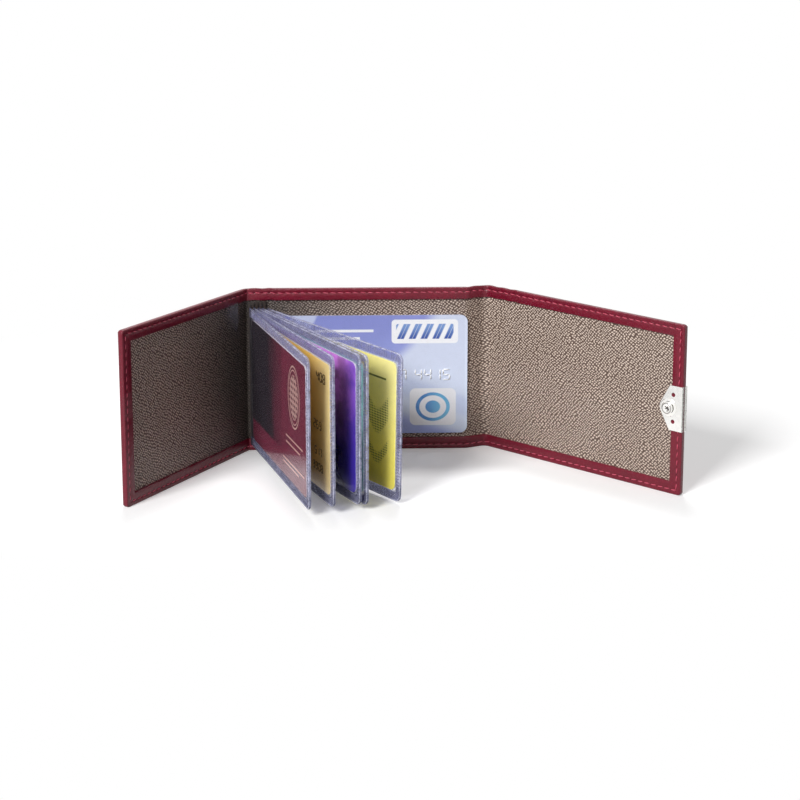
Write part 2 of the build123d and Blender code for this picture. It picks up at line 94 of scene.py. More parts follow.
# Plan of the inner face, walked from the front cover's free edge to the flap's, with the
# outer side on the left
back_crease = Vector((BACK_LEFT, INNER_Y, 0))
cover_crease = back_crease + heading(SPINE_TURN + 180) * SPINE_WIDTH
cover_end = cover_crease + heading(COVER_TURN + 180) * COVER_LENGTH
board_edge = Vector((BACK_RIGHT, INNER_Y, 0))
tongue_way = heading(TONGUE_TURN)
flap_way = heading(FLAP_TURN)
flap_spine_crease = board_edge + tongue_way * TONGUE_LENGTH
fold_turn = TONGUE_TURN - FLAP_TURN
tongue_leg = FOLD_RADIUS * tan(radians(TONGUE_TURN / 2))
fold_leg = FOLD_RADIUS * tan(radians(fold_turn / 2))
fold_vertex = flap_spine_crease + tongue_way * (fold_leg + FOLD_STRAIGHT)
flap_crease = fold_vertex + flap_way * FOLD_RUN
tongue_centre = board_edge - heading(0) * tongue_leg + heading(90) * FOLD_RADIUS
fold_centre = flap_spine_crease + tongue_way * FOLD_STRAIGHT + heading(TONGUE_TURN - 90) * FOLD_RADIUS

# Lines as (length, start, direction), and arcs as (length, centre, direction at the start and
# at the end, radius). A crease is an arc of no radius: the place stays and the direction turns.
segments = [
    (COVER_LENGTH, cover_end, COVER_TURN),
    (1.4, cover_crease, COVER_TURN, SPINE_TURN, 0.0),
    (SPINE_WIDTH, cover_crease, SPINE_TURN),
    (0.1, back_crease, SPINE_TURN, 0.0, 0.0),
    (BACK_RIGHT - BACK_LEFT - tongue_leg, back_crease, 0.0),
    (FOLD_RADIUS * radians(TONGUE_TURN), tongue_centre, 0.0, TONGUE_TURN, -FOLD_RADIUS),
    (TONGUE_LENGTH - tongue_leg, board_edge + tongue_way * tongue_leg, TONGUE_TURN),
    (FOLD_STRAIGHT, flap_spine_crease, TONGUE_TURN),
    (FOLD_RADIUS * radians(fold_turn), fold_centre, TONGUE_TURN, FLAP_TURN, FOLD_RADIUS),
    (FOLD_RUN - fold_leg, fold_vertex + flap_way * fold_leg, FLAP_TURN),
    (FLAP_LENGTH, flap_crease, FLAP_TURN),
]
starts = [0.0]
for segment in segments:
    starts.append(starts[-1] + segment[0])
COVER_CREASE, SPINE_START, BACK_CREASE, BACK_START, TONGUE_START = starts[1:6]
FLAP_SPINE = starts[7]
FOLD_END, FLAP_CREASE, END = starts[9:]
CREASES = (COVER_CREASE + 0.7, BACK_CREASE, FLAP_SPINE, FLAP_CREASE)

# Where the leather and the lining are cut into pieces
SPINE_MIDDLE = SPINE_START + SPINE_WIDTH / 2
BACK_MIDDLE = BACK_START + 44.0
FLAP_SPINE_MIDDLE = FOLD_END + 6.0


def place(along):
    """Point of the inner face in plan and the direction outwards, at a distance walked."""
    index = max(i for i in range(len(segments)) if along >= starts[i] - 1e-9)
    length, origin, angle, *bent = segments[index]
    step = min(along - starts[index], length)
    if not bent:
        return origin + heading(angle) * step, heading(angle + 90)
    turned, radius = bent
    outward = heading(angle + (turned - angle) * step / length + 90)
    return origin + outward * radius, outward


def ease(value, low, high):
    """Smooth step from 0 to 1 between two values."""
    share = min(max((value - low) / (high - low), 0.0), 1.0)
    return share * share * (3 - 2 * share)


def stiff(along):
    """1 where the leather has a board behind it, 0 where it is soft."""
    cover = 1 - ease(along, COVER_CREASE - 3.2, COVER_CREASE - 1.2)
    back = ease(along, BACK_START + 1.2, BACK_START + 3.2)
    back -= ease(along, TONGUE_START - 0.6, TONGUE_START + 1.2)
    flap = ease(along, FLAP_CREASE + 1.2, FLAP_CREASE + 3.2)
    return cover + back + flap


def thickness(along):
    return SOFT + (PANEL - SOFT) * stiff(along)


def height(along):
    """Height of the case, which swells a little over the soft folds and tapers on the flap."""
    taper = (HEIGHT - FLAP_END_HEIGHT) * max(along - FLAP_CREASE, 0) / FLAP_LENGTH
    swell = 0.25 * (1 - stiff(along)) * (0.6 + 0.4 * sin(along * 0.9))
    return HEIGHT - taper + swell


def rounding(distance, radius):
    """How far a rounded edge lies back at a distance from the end of a piece."""
    if distance >= radius:
        return 0.0
    return radius - sqrt(max(radius**2 - (radius - distance) ** 2, 0))


def swelling(distance, middle, width):
    """Height from 0 to 1 of a soft ridge round a middle."""
    return exp(-(((distance - middle) / width) ** 2))


def hem_relief(reach, along, across):
    """Depth of the stitched hem's surface: a groove at the thread, and padding on both sides."""
    groove = 0.16 * swelling(reach, STITCH_INSET, 0.28)
    padding = 0.10 * swelling(reach, 3.7, 0.9) + 0.07 * swelling(reach, 1.1, 0.5)
    pull = 0.05 * cos(2 * pi * along / STITCH_PITCH) * swelling(reach, STITCH_INSET, 0.8)
    wave = 0.05 * noise.noise(Vector((along * 0.22, across * 0.22, 3.1)))
    return groove - padding + pull + wave


# Distances from the rim at which a section has points: over the lining window, down the hem's
# cut edge as (distance for the relief, distance, depth), over the hem and over the outer face
WINDOW_STEPS = (26.0, 14.0, 8.0, 5.36, 5.30)
CUT_EDGE = ((5.28, 5.285, 0.5), (5.25, 5.25, 0.16))
HEM_STEPS = (5.12, 4.7, 4.1, 3.5, 3.0, 2.6, 2.3, 2.1, 1.9, 1.7, 1.4, 1.0, 0.6)
OUTER_STEPS = (1.2, 1.6, 1.85, 2.1, 2.4, 3.0, 4.5, 8.0, 14.0, 22.0, 30.0)


def half_section(along, side):
    """Half the leather's section, from inside round one rim, as (depth, distance from the rim)."""
    thick = thickness(along)
    end = min(along, END - along)
    open_window = end > HEM - 0.02
    middle = height(along) / 2 - rounding(end, CORNER)
    points = []
    for reach in (middle, *WINDOW_STEPS):
        relief = hem_relief(min(reach, end), along, reach + side * 90)
        points.append((WINDOW_DEPTH if open_window else relief, reach))
    for used, reach, depth in CUT_EDGE:
        points.append((depth if open_window else hem_relief(min(used, end), along, used), reach))
    for reach in HEM_STEPS:
        points.append((hem_relief(min(reach, end), along, reach + side * 90), reach))
    for turn in (0, 30, 60, 90):
        lean = radians(turn)
        points.append((INNER_ROUND * (1 - cos(lean)), INNER_ROUND * (1 - sin(lean))))
    points.append((thick / 2, -0.03))
    for turn in (90, 68, 46, 24, 0):
        lean = radians(turn)
        depth = thick - OUTER_ROUND * (1 - cos(lean))
        points.append((depth, OUTER_ROUND * (1 - sin(lean))))
    for reach in OUTER_STEPS:
        dent = 0.13 * swelling(min(reach, end), STITCH_INSET, 0.3)
        wave = 0.05 * noise.noise(Vector((along * 0.15, reach * 0.15 + side * 40, 9.7)))
        points.append((thick - dent + wave, reach))
    points.append((thick, middle))
    near = rounding(end, INNER_ROUND)
    far = thick - rounding(end, OUTER_ROUND) if end < OUTER_ROUND else inf
    inset = rounding(end, CORNER)
    section = []
    for depth, reach in points:
        held = max(depth, near) if near else depth
        section.append((min(held, far), reach + inset))
    return section


# Extra sections near a free end, as distances from it
END_STEPS = (
    0.0, 0.04, 0.12, 0.25, 0.42, 0.62, 0.9, 1.2, 1.5, 1.75, 2.0, 2.25, 2.6, 3.2, 4.0, 4.8, 5.26, 5.32,
)


def stations(low, high):
    """Distances walked at which a sweep has a section, closer together at folds and ends."""
    found = {low, high}
    value = low
    while value < high:
        creased = min(abs(value - mark) for mark in CREASES) < 3.4
        bending = TONGUE_START - 2 < value < FOLD_END + 1
        value += 0.35 if creased or bending else 0.82
        found.add(min(value, high))
    for step in END_STEPS:
        found.update(x for x in (step, END - step) if low <= x <= high)
    ordered = sorted(found)
    kept = [ordered[0]]
    for value in ordered[1:]:
        if value - kept[-1] > 0.02:
            kept.append(value)
    kept[-1] = high
    return kept


def point_at(along, depth, level):
    """Place in the frame, in metres, at a depth outwards from the inner face."""
    spot, outward = place(along)
    spot = spot + outward * depth
    return Vector((spot.x * MM, spot.y * MM, level * MM))


def add_object(name, data):
    made = bpy.data.objects.new(name, data)
    scene.collection.objects.link(made)
    return made


def finish_object(name, mesh, built, sharp):
    """A smooth object from a mesh and its worked faces, with edges sharp from an angle on."""
    bmesh.ops.recalc_face_normals(built, faces=built.faces)
    built.to_mesh(mesh)
    built.free()
    mesh.shade_smooth()
    if sharp:
        mesh.set_sharp_from_angle(angle=radians(sharp))
    return add_object(name, mesh)


def make_object(name, vertices, faces, places=None, sharp=None):
    """A smooth object, with each point's own place on its sheet kept for its material."""
    mesh = bpy.data.meshes.new(name)
    mesh.from_pydata([tuple(v) for v in vertices], [], faces)
    if places is not None:
        flat = mesh.attributes.new("place", "FLOAT_VECTOR", "POINT")
        flat.data.foreach_set("vector", [c for spot in places for c in spot])
    built = bmesh.new()
    built.from_mesh(mesh)
    return finish_object(name, mesh, built, sharp)


def grid_faces(rows, columns, base=0, closed=False):
    """Faces between neighbouring rows of points, which can be closed into rings."""
    faces = []
    for row in range(rows - 1):
        a = base + row * columns
        for index in range(columns if closed else columns - 1):
            other = (index + 1) % columns
            faces.append((a + index, a + other, a + columns + other, a + columns + index))
    return faces


def leather_skin(name, low, high):
    """Leather between two distances walked: hems turned in at top and bottom, and at a free end."""
    vertices, places, count = [], [], 0
    rows = stations(low, high)
    for along in rows:
        tall = height(along)
        top = [(depth, tall - reach) for depth, reach in half_section(along, 1)]
        loop = half_section(along, 0) + top[-2:0:-1]
        count = len(loop)
        walked = 0.0
        last = loop[0]
        for depth, level in loop:
            walked += hypot(depth - last[0], level - last[1])
            last = (depth, level)
            vertices.append(point_at(along, depth, level))
            places.append((along, walked, 0.0))
    faces = grid_faces(len(rows), count, closed=True)
    if low == 0.0:
        faces.append(tuple(range(count)))
    if high == END:
        faces.append(tuple(range((len(rows) - 1) * count, len(rows) * count)))
    return make_object(name, vertices, faces, places, sharp=50)


def lining_skin(name, low, high):
    """Lining between two distances walked, one sheet in the window between the hems."""
    vertices, places = [], []
    rows = stations(low, high)
    across = 34
    tuck = 0.1
    for along in rows:
        bottom, top = HEM - tuck, height(along) - HEM + tuck
        for index in range(across + 1):
            level = bottom + (top - bottom) * index / across
            rise = 0.06 * noise.noise(Vector((along * 0.12, level * 0.12, 1.7)))
            vertices.append(point_at(along, HEM_DEPTH + 0.02 + rise, level))
            places.append((along, level, 0.0))
    return make_object(name, vertices, grid_faces(len(rows), across + 1), places)


class Threads:
    """Short round threads, gathered into one mesh."""

    def __init__(self):
        self.vertices, self.faces, self.kinds = [], [], []

    def add(self, points, radius, sides=6, kind=0):
        """A thread through points, thinner at its ends."""
        base = len(self.vertices)
        for index, point in enumerate(points):
            before = points[max(index - 1, 0)]
            after = points[min(index + 1, len(points) - 1)]
            forward = (after - before).normalized()
            other_way = Vector((0.3, 0.2, 1)) if abs(forward.z) < 0.8 else Vector((1, 0.3, 0))
            side = forward.cross(other_way).normalized()
            up = side.cross(forward).normalized()
            share = index / (len(points) - 1)
            width = radius * (0.55 + 0.45 * sin(pi * share) ** 0.5)
            for turn in range(sides):
                angle = 2 * pi * turn / sides
                self.vertices.append(point + (side * cos(angle) + up * sin(angle)) * width)
        self.faces.extend(grid_faces(len(points), sides, base, closed=True))
        last = base + (len(points) - 1) * sides
        self.faces.append(tuple(range(base, base + sides)))
        self.faces.append(tuple(range(last, last + sides)))
        self.kinds.extend([kind] * (len(self.faces) - len(self.kinds)))

    def finish(self, name):
        return make_object(name, self.vertices, self.faces)


def stitches(name, low, high):
    """Thread along the hems between two distances walked, on the inner and outer faces."""
    threads = Threads()

    def add(face, spots):
        """A stitch through (distance walked, level) spots on the inner face, 0, or the outer, 1."""
        points = []
        for (along, level), arch in zip(spots, STITCH_ARCH):
            depth = 0.10 - arch if face == 0 else thickness(along) - 0.09 + arch
            points.append(point_at(along, depth, level))
        threads.add(points, STITCH_RADIUS)

    run = [STITCH_LENGTH * step / 4 for step in range(5)]
    slant = [STITCH_SLANT * (step - 2) / 2 for step in range(5)]
    number = int(low / STITCH_PITCH) - 1
    while number * STITCH_PITCH < high:
        first = number * STITCH_PITCH + STITCH_START
        number += 1
        middle = first + STITCH_LENGTH / 2
        if not (low <= middle < high) or first < 1.7 or first + STITCH_LENGTH > END - 1.7:
            continue
        for face in (0, 1):
            for rim in (0, 1):
                inset = STITCH_INSET + 0.04 * noise.noise(Vector((number, face, rim)))
                spots = [(first + forward, inset + aside) for forward, aside in zip(run, slant)]
                if rim == 1:
                    spots = [(along, height(along) - level) for along, level in spots]
                add(face, spots)
    for along in (STITCH_INSET, END - STITCH_INSET):
        if not low <= along <= high:
            continue
        count = int((height(along) - 2 * STITCH_INSET) / STITCH_PITCH)
        pitch = (height(along) - 2 * STITCH_INSET) / count
        for number in range(count):
            first = STITCH_INSET + pitch * number + STITCH_START
            for face in (0, 1):
                add(face, [(along + aside, first + forward) for forward, aside in zip(run, slant)])
    return threads.finish(name)


# Materials


class Tree:
    """A node tree, with short calls for the nodes used here."""

    def __init__(self, tree):
        self.nodes = tree.nodes
        self.links = tree.links

    def node(self, kind, inputs=None, **settings):
        """Outputs of a new node with these inputs and settings."""
        made = self.nodes.new("ShaderNode" + kind)
        for key, value in settings.items():
            setattr(made, key, value)
        for key, value in (inputs or {}).items():
            self.join(value, made.inputs[key])
        return made.outputs

    def join(self, value, socket):
        if isinstance(value, bpy.types.NodeSocket):
            self.links.new(value, socket)
        elif isinstance(value, (tuple, list)) and len(value) == 3 and len(socket.default_value) == 4:
            socket.default_value = (*value, 1.0)
        else:
            socket.default_value = value

    def math(self, operation, *values, clamp=False):
        return self.node("Math", dict(enumerate(values)), operation=operation, use_clamp=clamp)[0]

    def times(self, first, second):
        return self.math("MULTIPLY", first, second)

    def plus(self, first, second):
        return self.math("ADD", first, second)

    def either(self, first, *others):
        """Sum of shares, held to 1."""
        for other in others:
            first = self.math("ADD", first, other, clamp=True)
        return first

    def minus(self, first, second):
        return self.math("SUBTRACT", first, second)

    def opposite(self, value):
        """1 less a value."""
        return self.math("SUBTRACT", 1.0, value)

    def gap(self, first, second):
        """How far two values lie apart."""
        return self.math("ABSOLUTE", self.minus(first, second))

    def square(self, value):
        return self.math("POWER", self.math("ABSOLUTE", value), 2.0)

    def vector(self, operation, *values, output="Vector"):
        return self.node("VectorMath", dict(enumerate(values)), operation=operation)[output]

    def dot(self, first, second):
        return self.vector("DOT_PRODUCT", first, second, output="Value")

    def mix(self, share, first, second):
        return self.node("Mix", {0: share, 6: first, 7: second}, data_type="RGBA")[2]

    def shades(self, share, first, second):
        """From one screen colour to another by a share."""
        return self.mix(share, colour(first), colour(second))

    def over(self, tone, share, strength, figures):
        """A tone with a screen colour laid over it by a share."""
        return self.mix(self.times(share, strength), tone, colour(figures))

    def ramp(self, value, low, high):
        """Smooth step from 0 to 1 between two values."""
        inputs = {0: value, 1: low, 2: high}
        return self.node("MapRange", inputs, interpolation_type="SMOOTHSTEP")[0]

    def band(self, value, low, high, soft=0.35):
        """1 between two values and 0 outside, with soft edges."""
        risen = self.ramp(value, low - soft, low + soft)
        return self.minus(risen, self.ramp(value, high - soft, high + soft))

    def place(self):
        return self.node("Attribute", attribute_name="place")["Vector"]

    def spot(self):
        """Place in the frame, in millimetres."""
        where = self.node("TexCoord")["Object"]
        return self.vector("MULTIPLY", where, (1 / MM, 1 / MM, 1 / MM))

    def level(self, vector):
        return self.node("SeparateXYZ", {0: vector})[2]

    def noise(self, vector, scale, detail=2.0, roughness=0.5, output="Fac"):
        inputs = {"Vector": vector, "Scale": scale, "Detail": detail, "Roughness": roughness}
        return self.node("TexNoise", inputs)[output]

    def cells(self, vector, scale, randomness, dimensions="2D"):
        """Distance to the nearest of the points scattered over a plane or through space."""
        inputs = {"Vector": vector, "Scale": scale, "Randomness": randomness}
        return self.node("TexVoronoi", inputs, voronoi_dimensions=dimensions)["Distance"]

    def waves(self, vector, scale, distortion):
        inputs = {"Vector": vector, "Scale": scale, "Distortion": distortion}
        return self.node("TexWave", inputs)["Fac"]

    def bump(self, value, distance, strength, normal=None):
        inputs = {"Height": value, "Distance": distance, "Strength": strength}
        if normal is not None:
            inputs["Normal"] = normal
        return self.node("Bump", inputs)["Normal"]

    def seen(self):
        """1 where the camera looks, straight or through film or in a gloss, and 0 elsewhere."""
        rays = self.node("LightPath")
        direct = self.math("MAXIMUM", rays["Is Camera Ray"], rays["Is Transmission Ray"])
        return self.math("MAXIMUM", direct, rays["Is Glossy Ray"])


class Surface(Tree):
    """A material and its node tree."""

    def __init__(self, name):
        self.material = bpy.data.materials.new(name)
        self.material.use_nodes = True
        super().__init__(self.material.node_tree)
        self.shader = self.nodes["Principled BSDF"]

    def set(self, **inputs):
        for key, value in inputs.items():
            self.join(value, self.shader.inputs[key.replace("_", " ")])

    def mix_shaders(self, share, first, second):
        return self.node("MixShader", {0: share, 1: first, 2: second})[0]

    def show(self, shader):
        self.links.new(shader, self.nodes["Material Output"].inputs["Surface"])


def colour(figures):
    """Linear colour from the 0-255 figures of a screen."""
    return tuple(c / 255 / 12.92 if c <= 10 else ((c / 255 + 0.055) / 1.055) ** 2.4 for c in figures)


def leather_material():
    s = Surface("cherry_leather")
    where = s.place()
    pebble = s.ramp(s.cells(where, 2.3, 0.9, "3D"), 0.12, 0.62)
    grain = s.noise(where, 1.3, 3.0, 0.6)
    tone = s.shades(s.noise(where, 0.09, 3.0), (98, 5, 28), (142, 11, 46))
    s.set(Base_Color=s.over(tone, pebble, 0.45, (70, 4, 24)))
    s.set(Roughness=s.plus(s.times(grain, 0.25), 0.22), Specular_IOR_Level=0.36)
    s.set(Coat_Weight=0.12, Coat_Roughness=0.18)
    rough = s.bump(grain, 0.00016, 0.55, s.bump(pebble, 0.00007, 0.55))
    s.set(Normal=s.bump(s.noise(where, 0.55), 0.0004, 0.5, rough))
    return s.material


def lining_material():
    """Lining with a raised grain like rows of small beads, with painted shade darkening it towards the left
    spine.
    """
    s = Surface("embossed_lining")
    where = s.place()
    drift = s.noise(where, 0.11, 1.0, output="Color")
    shifted = s.vector("MULTIPLY_ADD", drift, (3.2, 3.2, 0.0), where)
    stretched = {"Vector": shifted, "Scale": (0.84, 1.04, 0.0), "Rotation": (0, 0, 0.62)}
    beads = s.cells(s.node("Mapping", stretched)[0], 1.0, 0.36)
    raised = s.opposite(s.ramp(beads, 0.10, 0.50))
    light = s.shades(s.noise(where, 0.05), (214, 192, 176), (238, 218, 202))
    tone = s.mix(raised, colour((86, 68, 59)), light)
    along = s.node("SeparateXYZ", {0: where})[0]
    # Painted shade: the lining is darkened towards the middle of the left spine, standing for the shade in
    # that fold.
    painted_fold_shade = s.opposite(s.ramp(s.gap(along, SPINE_MIDDLE), -6.0, 62.0))
    s.set(Base_Color=s.over(tone, painted_fold_shade, 0.86, (22, 17, 16)), Roughness=0.5)
    s.set(Normal=s.bump(raised, 0.00022, 0.9))
    return s.material


def thread_material():
    s = Surface("cherry_thread")
    twist = s.waves(s.spot(), 3.0, 1.0)
    s.set(Base_Color=s.shades(twist, (178, 40, 70), (228, 112, 134)), Roughness=0.42)
    s.set(Normal=s.bump(twist, 0.00004, 0.6))
    return s.material


def clear_material(name, cloudy, roughness, haze, tint=(0.985, 0.985, 0.99), low_painted_shade=None, glare_spot=None):
    """Clear film: what is behind it shows through, with gloss on top and a little haze. It can
    have a painted glare patch round a place, and a darker tint low down that is painted shade."""
    s = Surface(name)
    where = s.spot()
    # Painted shade: the film lets less through towards its bottom edge.
    if low_painted_shade:
        tint = s.mix(s.ramp(s.level(where), 13.0, 5.0), tint, low_painted_shade)
    facing = s.node("LayerWeight", {"Blend": 0.5})["Facing"]
    edge = s.times(s.math("POWER", facing, 6.0), 0.3)
    scuffs = s.ramp(s.noise(where, 0.35, 4.0, 0.65), 0.35, 0.75)
    cover = s.either(s.times(scuffs, cloudy), edge)
    cover = s.either(cover, cloudy * 0.3)
    # Painted glare: a paler, hazier patch round the given place.
    if glare_spot:
        reach = s.vector("DISTANCE", where, glare_spot, output="Value")
        cover = s.either(cover, s.times(s.ramp(reach, 9.0, 2.0), 0.3))
    s.set(Base_Color=colour(haze), Roughness=roughness, Specular_IOR_Level=0.5)
    s.set(Normal=s.bump(s.noise(where, 0.08), 0.0006, 0.35))
    clear_part = s.node("BsdfTransparent", {"Color": tint})[0]
    s.show(s.mix_shaders(cover, clear_part, s.shader.outputs[0]))
    return s.material


def metal_material(name, tone, roughness):
    s = Surface(name)
    wear = s.noise(s.spot(), 0.8, 4.0, 0.6)
    s.set(Base_Color=s.mix(wear, tone, tuple(c * 0.82 for c in tone)), Metallic=1.0)
    s.set(Roughness=s.plus(s.times(wear, 0.14), roughness))
    s.set(Normal=s.bump(wear, 0.00002, 0.3))
    return s.material


# The stud's middle, from the flap's crease and from the floor
STUD_REACH = 81.6
STUD_LEVEL = 36.8


def stud_material():
    """Bright stud, with painted shade in the recess struck into its tip and a painted shade line round its
    foot.
    """
    s = Surface("struck_stud")
    offset = s.vector("SUBTRACT", s.spot(), point_at(FLAP_CREASE + STUD_REACH, 0.0, STUD_LEVEL) / MM)
    across = s.dot(offset, flap_way)
    up = s.level(offset)
    reach = s.math("SQRT", s.plus(s.square(across), s.square(up)))
    arms = s.math("MINIMUM", s.math("ABSOLUTE", s.plus(across, up)), s.gap(across, up))
    # Painted shade: near-black colour in the recess of the tip and in a line round the foot.
    painted_star_shade = s.times(s.ramp(arms, 0.42, 0.24), s.ramp(reach, 1.15, 0.95))
    foot = s.minus(s.ramp(reach, 1.75, 1.95), s.ramp(reach, 2.25, 2.45))
    dark = s.math("MAXIMUM", painted_star_shade, s.times(foot, 0.6))
    s.set(Base_Color=s.mix(dark, (0.96, 0.95, 0.92), (0.10, 0.09, 0.08)), Roughness=0.12, Metallic=1.0)
    s.set(Normal=s.bump(s.opposite(dark), 0.0001, 0.6))
    return s.material


def grained_material(name, dark, pale, roughness, grain, relief, strength):
    """Plain stuff with a grain, given as its noise's figures, and its relief in metres."""
    s = Surface(name)
    rough = s.noise(s.spot(), *grain)
    s.set(Base_Color=s.shades(rough, dark, pale), Roughness=roughness)
    s.set(Normal=s.bump(rough, relief, strength))
    return s.material


# Leather, lining and thread in four pieces, with the joins in the middle of the spines and of
# the back panel.
leather = leather_material()
lining = lining_material()
cotton = thread_material()

# Each piece: its ends, its two bodies, the crease between them with the direction and reach of
# the stretch that bends, before it and after it, the parts whose leather and lining nodes it
# replaces, and the lining's flat size in metres, as height between the hems with its tuck under
# them and length along the panels
pieces = {
    "cover": (
        0.0, SPINE_MIDDLE, ("front_cover", "left_spine"), cover_crease,
        (COVER_TURN, 2.6), (SPINE_TURN, 2.6), ("cover", "left_spine"), (0.0632, 0.0882),
    ),
    "left_fold": (
        SPINE_MIDDLE, BACK_MIDDLE, ("left_spine", "back"), back_crease,
        (SPINE_TURN, 2.4), (0, 2.4), (), (0.0632, 0.0486),
    ),
    "right_fold": (
        BACK_MIDDLE, FLAP_SPINE_MIDDLE, ("back", "flap_spine"), flap_spine_crease,
        (TONGUE_TURN, 2.4), (TONGUE_TURN, 1.6), ("back", "flap_spine"), (0.0632, 0.0615),
    ),
    "flap": (
        FLAP_SPINE_MIDDLE, END, ("flap_spine", "flap"), flap_crease,
        (FLAP_TURN, 2.6), (FLAP_TURN, 2.6), ("flap",), (0.0625, 0.0907),
    ),
}
LINING_INSET = HEM - 0.4
for label, (low, high, bodies, crease, before, after, parts, flat_size) in pieces.items():
    inside = (max(low, LINING_INSET), min(high, END - LINING_INSET))
    for kind, build, ends, material, slot in (
        ("leather", leather_skin, (low, high), leather, "leather"),
        ("lining", lining_skin, inside, lining, "lining"),
        ("thread", stitches, (low, high), cotton, "leather"),
    ):
        made = build(f"{kind}_{label}", *ends)
        made.data.materials.append(material)
        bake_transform(made)
        if parts and kind != "thread":
            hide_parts(*(f"{part}_{kind}" for part in parts))

# Materials of the carried-over nodes and of the sleeves
window = clear_material("window_film", 0.012, 0.07, (120, 118, 122))
# The front cover's film has a painted glare patch near its top, by the left fold.
glared_cover_film = clear_material("cover_film", 0.03, 0.07, (150, 146, 150), glare_spot=(-58.1, -9.3, 65.0))
sleeve_clear = clear_material("sleeve_film", 0.02, 0.06, (124, 122, 136))
# Borders and ridges darken towards the bottom of each sleeve: painted shade.
border = clear_material("sleeve_edge", 0.22, 0.10, (168, 168, 202), (0.90, 0.90, 0.94), (0.58, 0.59, 0.66))
ridge = clear_material("sleeve_ridge", 0.20, 0.08, (204, 204, 232), (0.94, 0.94, 0.97), (0.84, 0.84, 0.88))
bead = clear_material("sleeve_bead", 0.62, 0.05, (222, 224, 240), (0.97, 0.97, 0.99))
nickel = metal_material("bright_nickel", (0.93, 0.92, 0.89), 0.09)


def paint(material, *nodes):
    for node in nodes:
        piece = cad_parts[node]
        if not piece.material_slots:
            piece.data.materials.append(material)
        for slot in piece.material_slots:
            slot.material = material


paint(window, "back_window_film")
paint(glared_cover_film, "cover_window_film")
board = grained_material("grey_board", (150, 134, 110), (190, 174, 148), 0.85, (1.5, 5.0, 0.7), 0.00005, 0.5)
# The binding's own dark brown, made darker still as painted shade of the left fold.
binding = grained_material("dark_binding_with_painted_shade", (44, 36, 33), (64, 53, 47), 0.35, (2.0, 3.0), 0.00004, 0.4)
paint(board, "back_board", "cover_board", "flap_board")
paint(nickel, "closure_plate", "stud_cap", "snap_socket", "socket_eyelet")
paint(stud_material(), "snap_stud")
paint(metal_material("spring_steel", (0.62, 0.62, 0.64), 0.30), "socket_spring")
paint(binding, "sleeve_binding")

# Sleeves and cards: where each sleeve starts in plan, which way it points, and how far its
# card lies from its lower near corner
SLEEVE_FOOT = 3.1
CARD_FROM_SPINE = 4.8
CARD_FROM_BOTTOM = 4.2
sleeve_bases = (
    (-52.379, -2.159), (-50.679, -2.109), (-48.980, -2.058), (-47.281, -2.008), (-45.582, -1.957),
)
sleeve_axes = (
    (0.2957, -0.9553, 0.0), (0.3811, -0.9245, 0.0), (0.4741, -0.8805, -0.0052),
    (0.4863, -0.8737, -0.0087), (0.6100, -0.7921, -0.0244),
)
sleeve_frames = {}
card_frames = {"window_card": (Vector((-42.0, -0.895, 7.3)), Vector((1, 0, 0)), Vector((0, -1, 0)))}
for number, base, axis in zip(range(1, 6), sleeve_bases, sleeve_axes):
    along = Vector(axis).normalized()
    front = along.cross(Vector((0, 0, 1))).normalized()
    up = front.cross(along).normalized()
    corner = Vector((*base, SLEEVE_FOOT))
    sleeve_frames[number] = (corner, along, up, front)
    card_frames[f"card_{number}"] = (corner + along * CARD_FROM_SPINE + up * CARD_FROM_BOTTOM, along, front)


class Card(Surface):
    """A card's material, drawn in millimetres from its lower near corner."""

    def __init__(self, piece, rim):
        super().__init__("printed_" + piece)
        self.piece, self.rim = piece, rim
        origin, along, self.front = card_frames[piece]
        offset = self.vector("SUBTRACT", self.spot(), origin)
        up = self.front.cross(along).normalized()
        self.x = self.dot(offset, along)
        self.z = self.dot(offset, up)
        self.flat = self.node("CombineXYZ", {0: self.x, 1: self.z})[0]
        self.set(Roughness=0.22, Specular_IOR_Level=0.5, Coat_Weight=0.3)

    def box(self, left, right, low, high):
        return self.times(self.band(self.x, left, right, 0.15), self.band(self.z, low, high, 0.15))

    def ellipse(self, across, high, wide, tall):
        """Squared distance from a middle, 1 on the rim of an ellipse."""
        first = self.square(self.math("DIVIDE", self.minus(self.x, across), wide))
        return self.plus(first, self.square(self.math("DIVIDE", self.minus(self.z, high), tall)))

    def rounded(self, left, right, low, high, corner):
        """1 inside a rectangle with rounded corners."""
        total = 0.0
        for value, near, far in ((self.x, left, right), (self.z, low, high)):
            past = self.minus(self.gap(value, (near + far) / 2), (far - near) / 2 - corner)
            total = self.plus(total, self.square(self.math("MAXIMUM", past, 0.0)))
        return self.opposite(self.ramp(self.math("SQRT", total), corner - 0.15, corner + 0.15))

    def finish(self, tone):
        """The printed tone on the card's front, a paler one on its back and its core on the rim."""
        normal = self.node("TexCoord")["Normal"]
        facing = self.dot(normal, self.front)
        flat = self.math("GREATER_THAN", self.math("ABSOLUTE", facing), 0.7)
        behind = self.math("LESS_THAN", facing, -0.7)
        tone = self.mix(self.times(behind, 0.8), tone, (0.82, 0.80, 0.76))
        self.set(Base_Color=self.mix(flat, self.rim, tone))
        paint(self.material, self.piece)


